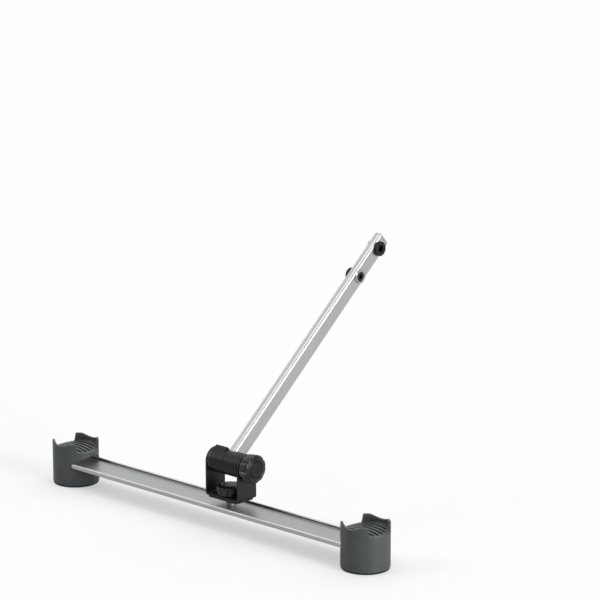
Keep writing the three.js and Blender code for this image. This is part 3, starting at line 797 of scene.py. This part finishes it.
def rail_screw(node, material):
    low, high = box_mm(node)
    head = (high.x - low.x) / 2
    rail_low, _ = box_mm("base_rail")
    seat = rail_low.z - SEAT - SHELF_THICKNESS - BOSS_LENGTH - SEAT
    made = pan_screw(RAIL_SCREW_RADIUS, high.z - seat, head, seat - low.z)
    centre = middle_mm(node)
    finish_piece(node, made, moved(centre.x, centre.y, seat), material)


def upright_washer(node, bore, material):
    low, high = box_mm(node)
    made = washer((high.x - low.x) / 2, bore, low.z, high.z)
    finish_piece(node, made, over(node), material)


def level_washer(node, bore, material):
    """A washer on the pivot axis, which runs along X."""
    low, high = box_mm(node)
    pivot = joint_mm("arm_tilt")
    made = washer((high.z - low.z) / 2, bore, low.x - pivot.x, high.x - pivot.x)
    finish_piece(node, made, pivot_place(), material)


def pivot_place():
    pivot = joint_mm("arm_tilt")
    return Matrix.Translation(pivot * MM) @ Matrix.Rotation(math.pi / 2, 4, "Y")


def clamp_bolt(material):
    low, high = box_mm("clamp_bolt")
    washer_low, _ = box_mm("clamp_washer_lower")
    seat = washer_low.z - SEAT
    head = (high.x - low.x) / 2
    shank = CLAMP_BOLT_RADIUS
    corners = [(0.0, seat - 1.5, 0.0), (shank, seat - 1.5, 0.0), (shank, high.z - 0.8, 0.1),
               (shank - 0.8, high.z, 0.1), (0.0, high.z, 0.0)]
    made = lathe(corners, MEDIUM, 3)
    block = bar(hexagon(head * math.sqrt(3), 0.4), low.z, seat, along_z)
    dome = lathe([(0.0, low.z, 0.0), (head * 0.86, low.z, 0.6), (head + 0.4, low.z + 1.4, 0.4),
                  (head + 0.4, seat + 1.0, 0.0), (0.0, seat + 1.0, 0.0)], FINE, 4)
    combine(block, [dome], "INTERSECT")
    join(made, block)
    place = moved(joint_mm("bracket_swivel").x, middle_mm("clamp_bolt").y)
    finish_piece("clamp_bolt", made, place, material)


def pivot_bolt(material):
    low, high = box_mm("pivot_bolt")
    pivot = joint_mm("arm_tilt")
    bracket_low, _ = box_mm("u_bracket")
    seat = bracket_low.x - SEAT - pivot.x
    tip = high.x - pivot.x
    face = low.x - pivot.x
    head = (high.z - low.z) / 2
    shank = PIVOT_BOLT_RADIUS
    corners = [(0.0, face, 0.0), (head * 0.5, face, 3.0), (head * 0.86, face + 1.7, 2.5),
               (head, seat - 0.8, 0.5), (head, seat, 0.2), (shank, seat, 0.2),
               (shank, tip - 0.8, 0.1), (shank - 0.8, tip, 0.1), (0.0, tip, 0.0)]
    made = lathe(corners, MEDIUM, 5)
    cut(made, bar(hexagon(6.0, 0.15), face - PAST, face + 2.8, along_z))
    finish_piece("pivot_bolt", made, pivot_place(), material)


# ---------------------------------------------------------------- rail
def base_rail(bright, grey, dark):
    low, high = box_mm("base_rail")
    half = (high.y - low.y) / 2
    floor = high.z - RAIL_RECESS
    inner = half - RAIL_LIP
    tip = RAIL_LIP_ROUND
    edge = RAIL_EDGE_ROUND
    corners = [(-half, low.z, edge), (half, low.z, edge), (half, high.z, 2.0),
               (inner, high.z, tip), (inner, floor, 0.4), (-inner, floor, 0.4),
               (-inner, high.z, tip), (-half, high.z, 2.0)]
    outline = rounded(corners, 7)
    centre = middle_mm("base_rail").y
    made = loft([[(x, a + centre, b) for a, b in outline]
                 for x in (low.x, low.x + 0.3, high.x - 0.3, high.x)])
    holes = [rod(CLAMP_BOLT_RADIUS + FIT, low.z - PAST, high.z + PAST,
                 x=joint_mm("bracket_swivel").x, y=centre, steps=MEDIUM)]
    for side in ("left", "right"):
        for number in ("1", "2"):
            place = middle_mm(side + "_rail_screw_" + number)
            holes.append(rod(RAIL_SCREW_RADIUS + FIT, low.z - PAST, high.z + PAST,
                             x=place.x, y=place.y, steps=COARSE))
    cut(made, *holes)
    made.data.materials.clear()
    made.data.materials.append(bright)
    made.data.materials.append(grey)
    made.data.materials.append(dark)
    # the recess floor takes the grey copy (index 1), which is painted shade; the lips' inner
    # upright walls take the near-black copy (index 2), which is a painted shadow line
    for face in made.data.polygons:
        away = abs(face.center.y / MM - centre)
        level = abs(face.center.z / MM - floor) < 0.05
        upright = abs(face.normal.z) < 0.5 and face.center.z / MM > floor
        if away < inner - 0.2 and level:
            face.material_index = 1
        elif away < inner + 0.6 and upright:
            face.material_index = 2
    finish_piece("base_rail", made, Matrix.Identity(4), bright, 28)


# ---------------------------------------------------------------- swivel stack and bracket
def swivel_collar(material):
    low, high = box_mm("swivel_collar")
    radius = (high.x - low.x) / 2
    bore = CLAMP_BOLT_RADIUS + FIT
    waist = (low.z + high.z) / 2
    corners = [(bore, low.z, 0.2), (radius, low.z, 0.5), (radius, waist - 1.6, 0.4),
               (radius - 0.6, waist - 1.2, 0.3), (radius - 0.6, waist + 1.2, 0.3),
               (radius, waist + 1.6, 0.4), (radius, high.z, 0.5), (bore, high.z, 0.2)]
    finish_piece("swivel_collar", lathe(corners, MEDIUM, 4), over("swivel_collar"), material)


def swivel_pad(material):
    low, high = box_mm("swivel_pad")
    outline = rounded_box(high.x - low.x, high.y - low.y, 3.0, 8)
    made = bar(outline, low.z, high.z, along_z, edge=0.6)
    cut(made, rod(CLAMP_BOLT_RADIUS + FIT, low.z - PAST, high.z + PAST))
    finish_piece("swivel_pad", made, over("swivel_pad"), material)


def u_bracket(material):
    """A strip with round ends, bent up twice."""
    low, high = box_mm("u_bracket")
    half = (high.x - low.x) / 2
    depth = (high.y - low.y) / 2
    pivot = joint_mm("arm_tilt")
    rise = pivot.z
    bend_steps = 10
    end_steps = 26
    path = []
    bend_z = low.z + BEND
    for step in range(end_steps):
        turn = math.radians(87.5) * (1 - step / end_steps)
        path.append((half, rise + depth * math.sin(turn), 1.0, 0.0, depth * math.cos(turn)))
    path.append((half, rise, 1.0, 0.0, depth))
    for step in range(bend_steps + 1):
        turn = math.pi / 2 * step / bend_steps
        out = math.cos(turn)
        down = -math.sin(turn)
        path.append((half - BEND + BEND * out, bend_z + BEND * down, out, down, depth))
    mirrored = [(-x, z, -out, down, wide) for x, z, out, down, wide in reversed(path)]
    sections = []
    for x, z, out, down, wide in path + mirrored:
        inner_x = x - PLATE * out
        inner_z = z - PLATE * down
        sections.append([(x, -wide, z), (x, wide, z), (inner_x, wide, inner_z),
                         (inner_x, -wide, inner_z)])
    made = loft(sections)
    soften(made, 0.55, 3, 60)
    reach = half + PAST
    cut(made, rod(PIVOT_BOLT_RADIUS + FIT, -reach, reach, along_x, 0.0, rise),
        rod(CLAMP_BOLT_RADIUS + FIT, low.z - PAST, low.z + BEND + PAST))
    finish_piece("u_bracket", made, moved(pivot.x, pivot.y), material)


# ---------------------------------------------------------------- knobs
def hollow_radius(turn, widest):
    """How far out the hollows between the knob's lobes leave its rim at one bearing."""
    pitch = 2 * math.pi / KNOB_SCALLOPS
    away = abs((turn % pitch) - pitch / 2)
    place = widest + SCALLOP_RADIUS - SCALLOP_DEPTH
    across = place * math.sin(away)
    if across >= SCALLOP_RADIUS:
        return place
    return place * math.cos(away) - math.sqrt(SCALLOP_RADIUS**2 - across**2)


def knob_body(name, bolt_radius, place, material):
    low, high = box_mm(name)
    height, _, across = sorted(high - low)
    widest = across / 2
    cap_low, cap_high = box_mm(name + "_cap")
    cap = (cap_high.y - cap_low.y) / 2
    recess = height - KNOB_CAP_THICKNESS - SEAT
    profile = rounded([(0.0, 0.0, 0.0), (KNOB_BACK, 0.0, 1.4),
                       (widest, height - KNOB_WIDEST_BELOW, 9.0),
                       (widest - 0.5, height - KNOB_SHOULDER_BELOW, 2.6),
                       (KNOB_FACE + 0.3, height, 0.5),
                       (cap + FIT, height - 1.0, 0.1), (cap + FIT, recess, 0.1),
                       (0.0, recess, 0.0)], 7)
    spread = math.radians(1.3)
    shares = (-1.0, -0.66, -0.33, 0.0, 0.33, 0.66, 1.0)

    def outline(turn):
        limits = [hollow_radius(turn + spread * share, widest) for share in shares]
        return [(sum(min(r, limit) for limit in limits) / len(limits), z) for r, z in profile]

    made = turned(outline, even_turns(KNOB_SCALLOPS * 36))
    insert_low, insert_high = box_mm(name + "_insert")
    sides = insert_high - insert_low
    flats = sorted(sides)[1] if name == "pivot_knob" else min(sides.x, sides.y)
    depth = KNOB_INSERT_INSET + KNOB_INSERT_LENGTH + SEAT
    cut(made, bar(hexagon(flats + 2 * FIT, 0.2), -PAST, depth, along_z),
        rod(bolt_radius + FIT, -PAST, height - BOLT_END_BELOW + 2 * SEAT))
    finish_piece(name, made, place, material, 40)
    return flats, cap, height


def knob(name, bolt_radius, place, looks):
    flats, cap, height = knob_body(name, bolt_radius, place, looks["knob"])
    top = KNOB_INSERT_INSET + KNOB_INSERT_LENGTH
    insert = bar(hexagon(flats, 0.5), KNOB_INSERT_INSET, top, along_z, edge=0.3)
    cut(insert, rod(bolt_radius + FIT, -PAST, top + PAST))
    finish_piece(name + "_insert", insert, place, looks["steel"])
    bottom = height - KNOB_CAP_THICKNESS
    corners = [(0.0, bottom, 0.0), (cap, bottom, 0.2), (cap, height - 0.8, 0.2),
               (cap - 0.9, height + 0.2, 0.4), (cap * 0.5, height + 0.45, 3.0),
               (0.0, height + 0.5, 0.0)]
    finish_piece(name + "_cap", lathe(corners, FINE, 5), place, looks["plastic"])


# ---------------------------------------------------------------- hub and arm
def arm_place():
    pivot = joint_mm("arm_tilt")
    return Matrix.Translation(pivot * MM) @ Matrix.Rotation(math.radians(ARM_LEAN), 4, "X")


def lug_outline():
    r = LUG_ROUND
    steps = 48
    turns = [math.pi / 2 + math.pi * step / steps for step in range(steps + 1)]
    points = [(DRUM * math.cos(turn), DRUM * math.sin(turn)) for turn in turns]
    for corner, start in (((LUG_REACH - r, -DRUM + r), -90), ((LUG_REACH - r, DRUM - r), 0)):
        for step in range(9):
            turn = math.radians(start + 90 * step / 8)
            points.append((corner[0] + r * math.cos(turn), corner[1] + r * math.sin(turn)))
    return points


def arm_section(inward=0.0, steps=8):
    width = ARM_THICKNESS - 2 * inward
    height = ARM_WIDTH - 2 * inward
    return rounded_box(width, height, ARM_ROUND - inward, steps)


def arm_pocket():
    """The room that the arm's foot takes up in the hub."""
    return bar(arm_section(-SEAT), LEDGE, DRUM + PAST, along_y)


def hub_ends():
    """Where the hub starts and ends along the pivot axis, from the bracket's middle."""
    pivot = joint_mm("arm_tilt")
    left_low, _ = box_mm("hub_left")
    _, right_high = box_mm("hub_right")
    return left_low.x - pivot.x, right_high.x - pivot.x


def hub_left(material):
    """The lug beside the arm, and the round part under the arm up to the seam."""
    start, _ = hub_ends()
    beside = -ARM_THICKNESS / 2 - SEAT
    end = HUB_SEAM - SEAT
    made = bar(lug_outline(), start, beside, along_x, edge=0.9, edge_end=0.7)
    lap = 2.0
    inner = bar(circle(DRUM, 96), beside - lap, end, along_x, edge_end=0.4)
    front = bar(rounded_box(DRUM, 3 * DRUM, 0.0), beside - lap - PAST, end + PAST, along_x)
    cut(inner, shift(front, y=LUG_REACH - 1.5 + DRUM / 2), arm_pocket())
    join(made, inner)
    cutters = [rod(PIVOT_BOLT_RADIUS + FIT, start - PAST, end + PAST, along_x)]
    for z in (-HUB_SCREW_OFFSET, HUB_SCREW_OFFSET):
        sink = start + HUB_SCREW_HEAD_HEIGHT + 2 * SEAT
        cutters.append(rod(HUB_SCREW_RADIUS + FIT, start - PAST, end + PAST, along_x,
                           -HUB_SCREW_DROP, z, COARSE))
        cutters.append(rod(HUB_SCREW_HEAD + FIT, start - PAST, sink, along_x,
                           -HUB_SCREW_DROP, z, COARSE))
    cut(made, *cutters)
    finish_piece("hub_left", made, arm_place(), material)


def hub_right(material):
    """The other half, with the tongue that runs up inside the arm."""
    _, end = hub_ends()
    start = HUB_SEAM
    made = bar(circle(DRUM, 96), start, end, along_x, edge=0.4, edge_end=0.9)
    cut(made, arm_pocket())
    tongue = bar(arm_section(ARM_WALL + FIT), LEDGE - 0.5, LEDGE + TONGUE, along_y, 0.0,
                 edge_end=0.8)
    over_left = bar(rounded_box(ARM_THICKNESS, ARM_WIDTH, 0.0), LEDGE - PAST, LEDGE + SEAT,
                    along_y)
    cut(tongue, shift(over_left, x=start - ARM_THICKNESS / 2))
    join(made, tongue)
    cutters = [rod(PIVOT_BOLT_RADIUS + FIT, start - PAST, end + PAST, along_x)]
    for z in (-HUB_SCREW_OFFSET, HUB_SCREW_OFFSET):
        cutters.append(rod(HUB_SCREW_RADIUS + FIT, start - PAST, start + HUB_SCREW_REACH + FIT,
                           along_x, -HUB_SCREW_DROP, z, COARSE))
    depth = -ARM_THICKNESS / 2 + ARM_WALL + ARM_SCREW_DEPTH + FIT
    for y in ARM_SCREW_PLACES:
        cutters.append(rod(ARM_SCREW_RADIUS + FIT, -ARM_THICKNESS, depth, along_x, y, 0.0,
                           COARSE))
    cut(made, *cutters)
    finish_piece("hub_right", made, arm_place(), material)


def arm_tube(material):
    start = LEDGE + SEAT
    end = ARM_LENGTH - ARM_CAP_HEAD - SEAT
    made = bar(arm_section(steps=10), start, end, along_y, edge=0.25, steps=3)
    inside = bar(arm_section(ARM_WALL, 10), start - PAST, end + PAST, along_y)
    cut(made, inside)
    face = ARM_THICKNESS / 2 + PAST
    holes = [rod(BUSH + FIT, -face, face, along_x, y, 0.0) for y in (LOWER_AXLE, UPPER_AXLE)]
    holes += [rod(ARM_SCREW_RADIUS + FIT, -face, 0.0, along_x, y, 0.0, COARSE)
              for y in ARM_SCREW_PLACES]
    cut(made, *holes)
    finish_piece("arm_tube", made, arm_place(), material)


def arm_end_cap(material):
    start = ARM_LENGTH - ARM_CAP_HEAD
    made = bar(arm_section(steps=10), start, ARM_LENGTH, along_y, edge=0.25, edge_end=2.1,
               steps=6)
    plug = bar(arm_section(ARM_WALL + FIT, 10), start - SEAT - ARM_CAP_PLUG, start + 0.5,
               along_y, edge=0.8, edge_end=0.0)
    join(made, plug)
    finish_piece("arm_end_cap", made, arm_place(), material)


def side_turn(side):
    return Matrix.Rotation(math.pi / 2 * side, 4, "Y")


def axle_bush(node, along, side, material):
    """Drawn along Z, with the face for the wheel's hub on top."""
    near = ARM_THICKNESS / 2 + SEAT
    face = near + BUSH_FLANGE_THICKNESS
    back = -ARM_THICKNESS / 2 - SEAT - AXLE_RING_THICKNESS
    corners = [(SKEWER_BORE, back, 0.3), (BUSH, back, 0.5), (BUSH, near, 0.3),
               (BUSH_FLANGE, near, 0.3), (BUSH_FLANGE, near + 1.6, 0.3),
               (BUSH_FLANGE - 0.5, near + 2.0, 0.2), (BUSH_FLANGE - 0.5, near + 3.0, 0.2),
               (BUSH_FLANGE, near + 3.4, 0.3), (BUSH_FLANGE, face, 0.6),
               (AXLE_BORE, face, 0.5), (AXLE_BORE, face - AXLE_BORE_DEPTH, 0.2),
               (SKEWER_BORE, face - AXLE_BORE_DEPTH, 0.2)]
    made = lathe(corners, FINE, 4)
    place = arm_place() @ moved(0, along) @ side_turn(side)
    finish_piece(node, made, place, material)


def axle_ring(node, along, side, material):
    near = ARM_THICKNESS / 2 + SEAT
    far = near + AXLE_RING_THICKNESS
    made = washer(AXLE_RING, BUSH + FIT, near, far, 0.35, FINE)
    notches = []
    for number in range(4):
        notch = bar(rounded_box(2.4, 2.2, 0.3, 3), near - PAST, far + PAST, along_z)
        shift(notch, x=AXLE_RING)
        notches.append(spin(notch, 90 * number, "Z"))
    cut(made, *notches)
    place = arm_place() @ moved(0, along) @ side_turn(-side)
    finish_piece(node, made, place, material)


def side_screw(node, screw, x, y, z, material):
    finish_piece(node, screw, arm_place() @ moved(x, y, z) @ side_turn(1), material)


def arm_screws(material):
    start, _ = hub_ends()
    for number, z in ((1, -HUB_SCREW_OFFSET), (2, HUB_SCREW_OFFSET)):
        seat = start + HUB_SCREW_HEAD_HEIGHT + SEAT
        length = HUB_SEAM + HUB_SCREW_REACH - seat
        screw = pan_screw(HUB_SCREW_RADIUS, length, HUB_SCREW_HEAD, HUB_SCREW_HEAD_HEIGHT - SEAT)
        side_screw("hub_screw_" + str(number), screw, seat, -HUB_SCREW_DROP, z, material)
    for number, y in enumerate(ARM_SCREW_PLACES, 1):
        length = SEAT + ARM_WALL + ARM_SCREW_DEPTH
        screw = pan_screw(ARM_SCREW_RADIUS, length, ARM_SCREW_HEAD, ARM_SCREW_HEAD_HEIGHT)
        side_screw("arm_screw_" + str(number), screw, -ARM_THICKNESS / 2 - SEAT, y, 0.0, material)


# ---------------------------------------------------------------- stage, lights, camera
def split_for_camera(tree, unseen, seen, output):
    """Shows one shader to the camera and gives the other to every other ray."""
    path = tree.nodes.new("ShaderNodeLightPath")
    mix = tree.nodes.new("ShaderNodeMixShader")
    tree.links.new(path.outputs["Is Camera Ray"], mix.inputs[0])
    tree.links.new(unseen, mix.inputs[1])
    tree.links.new(seen, mix.inputs[2])
    tree.links.new(mix.outputs["Shader"], output.inputs["Surface"])


def matt(tree, tone):
    surface = tree.nodes.new("ShaderNodeBsdfDiffuse")
    surface.inputs["Color"].default_value = (tone, tone, tone, 1.0)
    return surface.outputs["BSDF"]


def floor():
    """A white floor that keeps the rack's soft shadow; what it throws back is duller."""
    material = bpy.data.materials.new("pale_floor")
    material.use_nodes = True
    tree = material.node_tree
    tree.nodes.clear()
    seen = tree.nodes.new("ShaderNodeMixShader")
    glow = tree.nodes.new("ShaderNodeEmission")
    seen.inputs[0].default_value = FLOOR_GLOW
    tree.links.new(matt(tree, FLOOR_TONE), seen.inputs[1])
    tree.links.new(glow.outputs["Emission"], seen.inputs[2])
    output = tree.nodes.new("ShaderNodeOutputMaterial")
    split_for_camera(tree, matt(tree, FLOOR_BOUNCE), seen.outputs["Shader"], output)
    bpy.ops.mesh.primitive_plane_add(size=FLOOR_SIZE, location=(0.0, 0.0, 0.0))
    ground = bpy.context.object
    ground.name = "studio_floor"
    ground.data.materials.append(material)


def sun(name, azimuth, elevation, strength, spread):
    """A soft far lamp, seen from the rack at the given bearing and height in degrees."""
    data = bpy.data.lights.new(name, "SUN")
    data.energy = strength
    data.angle = math.radians(spread)
    thing = bpy.data.objects.new(name, data)
    thing.rotation_euler = (math.radians(90 - elevation), 0.0, math.radians(azimuth))
    bpy.context.scene.collection.objects.link(thing)


def lights():
    """White round about to the eye; as light, dim in front of the rack and bright behind it."""
    world = bpy.data.worlds.new("studio")
    bpy.context.scene.world = world
    world.use_nodes = True
    tree = world.node_tree
    white = (1.0, 1.0, 1.0, 1.0)
    unseen = tree.nodes["Background"]
    unseen.inputs["Color"].default_value = white
    bearing = tree.nodes.new("ShaderNodeTexCoord")
    behind = tree.nodes.new("ShaderNodeVectorMath")
    behind.operation = "DOT_PRODUCT"
    turn = math.radians(BACK_AZIMUTH)
    behind.inputs[1].default_value = (math.sin(turn), -math.cos(turn), 0.0)
    level = tree.nodes.new("ShaderNodeMapRange")
    level.interpolation_type = "SMOOTHSTEP"
    for key, value in (("From Min", FRONT_ENDS), ("From Max", BACK_STARTS),
                       ("To Min", FRONT_LIGHT), ("To Max", BACK_LIGHT)):
        level.inputs[key].default_value = value
    tree.links.new(bearing.outputs["Generated"], behind.inputs[0])
    tree.links.new(behind.outputs["Value"], level.inputs["Value"])
    tree.links.new(level.outputs["Result"], unseen.inputs["Strength"])
    seen = tree.nodes.new("ShaderNodeBackground")
    seen.inputs["Color"].default_value = white
    split_for_camera(tree, unseen.outputs["Background"], seen.outputs["Background"],
                     tree.nodes["World Output"])
    for lamp in SUNS:
        sun(*lamp)


def camera():
    """Stands where the photograph was taken from, with a long lens."""
    azimuth = 43.034
    elevation = 13.568
    roll = -0.051
    place = Vector((2750.7, -2762.5, 1272.4)) * MM
    place.y += joint_mm("arm_tilt").y * MM
    data = bpy.data.cameras.new("camera")
    data.lens = 168.54
    data.sensor_width = 36.0
    data.sensor_fit = "HORIZONTAL"
    data.clip_end = 100.0
    thing = bpy.data.objects.new("camera", data)
    thing.location = place
    upright = Matrix.Rotation(math.radians(azimuth), 4, "Z")
    tilt = Matrix.Rotation(math.radians(90 - elevation), 4, "X")
    lean = Matrix.Rotation(math.radians(roll), 4, "Z")
    thing.matrix_world = Matrix.Translation(place) @ upright @ tilt @ lean
    bpy.context.scene.collection.objects.link(thing)
    bpy.context.scene.camera = thing


# ---------------------------------------------------------------- the rack
def rack():
    grey = foot_plastic("foot_plastic")
    # a copy of the foot plastic at 0.15 of its tone: painted shade for the slots' inner sides
    slot_painted_shade = foot_plastic("foot_slots_painted_shade", 0.15)
    plastic = black_plastic()
    steel = bright_steel()
    rail_bright = drawn_aluminium("rail_lips", (0.62, 0.625, 0.63), 0.34)
    # the recess and corner looks are the same aluminium made darker: painted shade on the recess
    # floor, painted shadow along the lips' inner walls
    rail_shade_grey = drawn_aluminium("rail_recess_painted_shade", (0.42, 0.425, 0.43), 0.42)
    rail_shadow_dark = drawn_aluminium("rail_corner_painted_shadow", (0.1, 0.102, 0.105), 0.5)
    arm_turn = (-math.radians(ARM_LEAN), 0.0, 0.0)
    arm_silver = drawn_aluminium("arm_silver", (0.64, 0.645, 0.65), 0.3, arm_turn,
                                 (90.0, 1.0, 90.0))
    pad_rubber = rubber()
    looks = {"knob": knob_plastic(), "plastic": plastic, "steel": steel}

    for foot in ("left", "right"):
        foot_shell(foot + "_foot_shell", grey, slot_painted_shade)
        foot_pad(foot + "_foot_pad", pad_rubber)
        for number in ("1", "2"):
            rail_screw(foot + "_rail_screw_" + number, steel)
    base_rail(rail_bright, rail_shade_grey, rail_shadow_dark)

    clamp_bore = CLAMP_BOLT_RADIUS + FIT
    upright_washer("clamp_washer_lower", clamp_bore, steel)
    upright_washer("clamp_washer_upper", clamp_bore, steel)
    clamp_bolt(steel)
    swivel_collar(drawn_aluminium("collar_silver", (0.34, 0.345, 0.35), 0.58))
    swivel_pad(plastic)
    u_bracket(black_steel())
    knob_low, _ = box_mm("clamp_knob")
    swivel = joint_mm("bracket_swivel")
    knob("clamp_knob", CLAMP_BOLT_RADIUS, moved(swivel.x, swivel.y, knob_low.z), looks)

    pivot_bore = PIVOT_BOLT_RADIUS + FIT
    for node in ("friction_washer_left", "friction_washer_right", "pivot_washer"):
        level_washer(node, pivot_bore, steel)
    pivot_bolt(steel)
    knob_low, _ = box_mm("pivot_knob")
    pivot = joint_mm("arm_tilt")
    place = pivot_place() @ moved(0, 0, knob_low.x - pivot.x)
    knob("pivot_knob", PIVOT_BOLT_RADIUS, place, looks)

    hub_left(plastic)
    hub_right(plastic)
    arm_tube(arm_silver)
    arm_end_cap(arm_silver)
    arm_screws(steel)
    for end, along, side in (("lower", LOWER_AXLE, -1), ("upper", UPPER_AXLE, 1)):
        axle_bush("axle_bush_" + end, along, side, plastic)
        axle_ring("axle_ring_" + end, along, side, steel)


bpy.context.scene.view_settings.view_transform = "Standard"
camera()
lights()
floor()
rack()
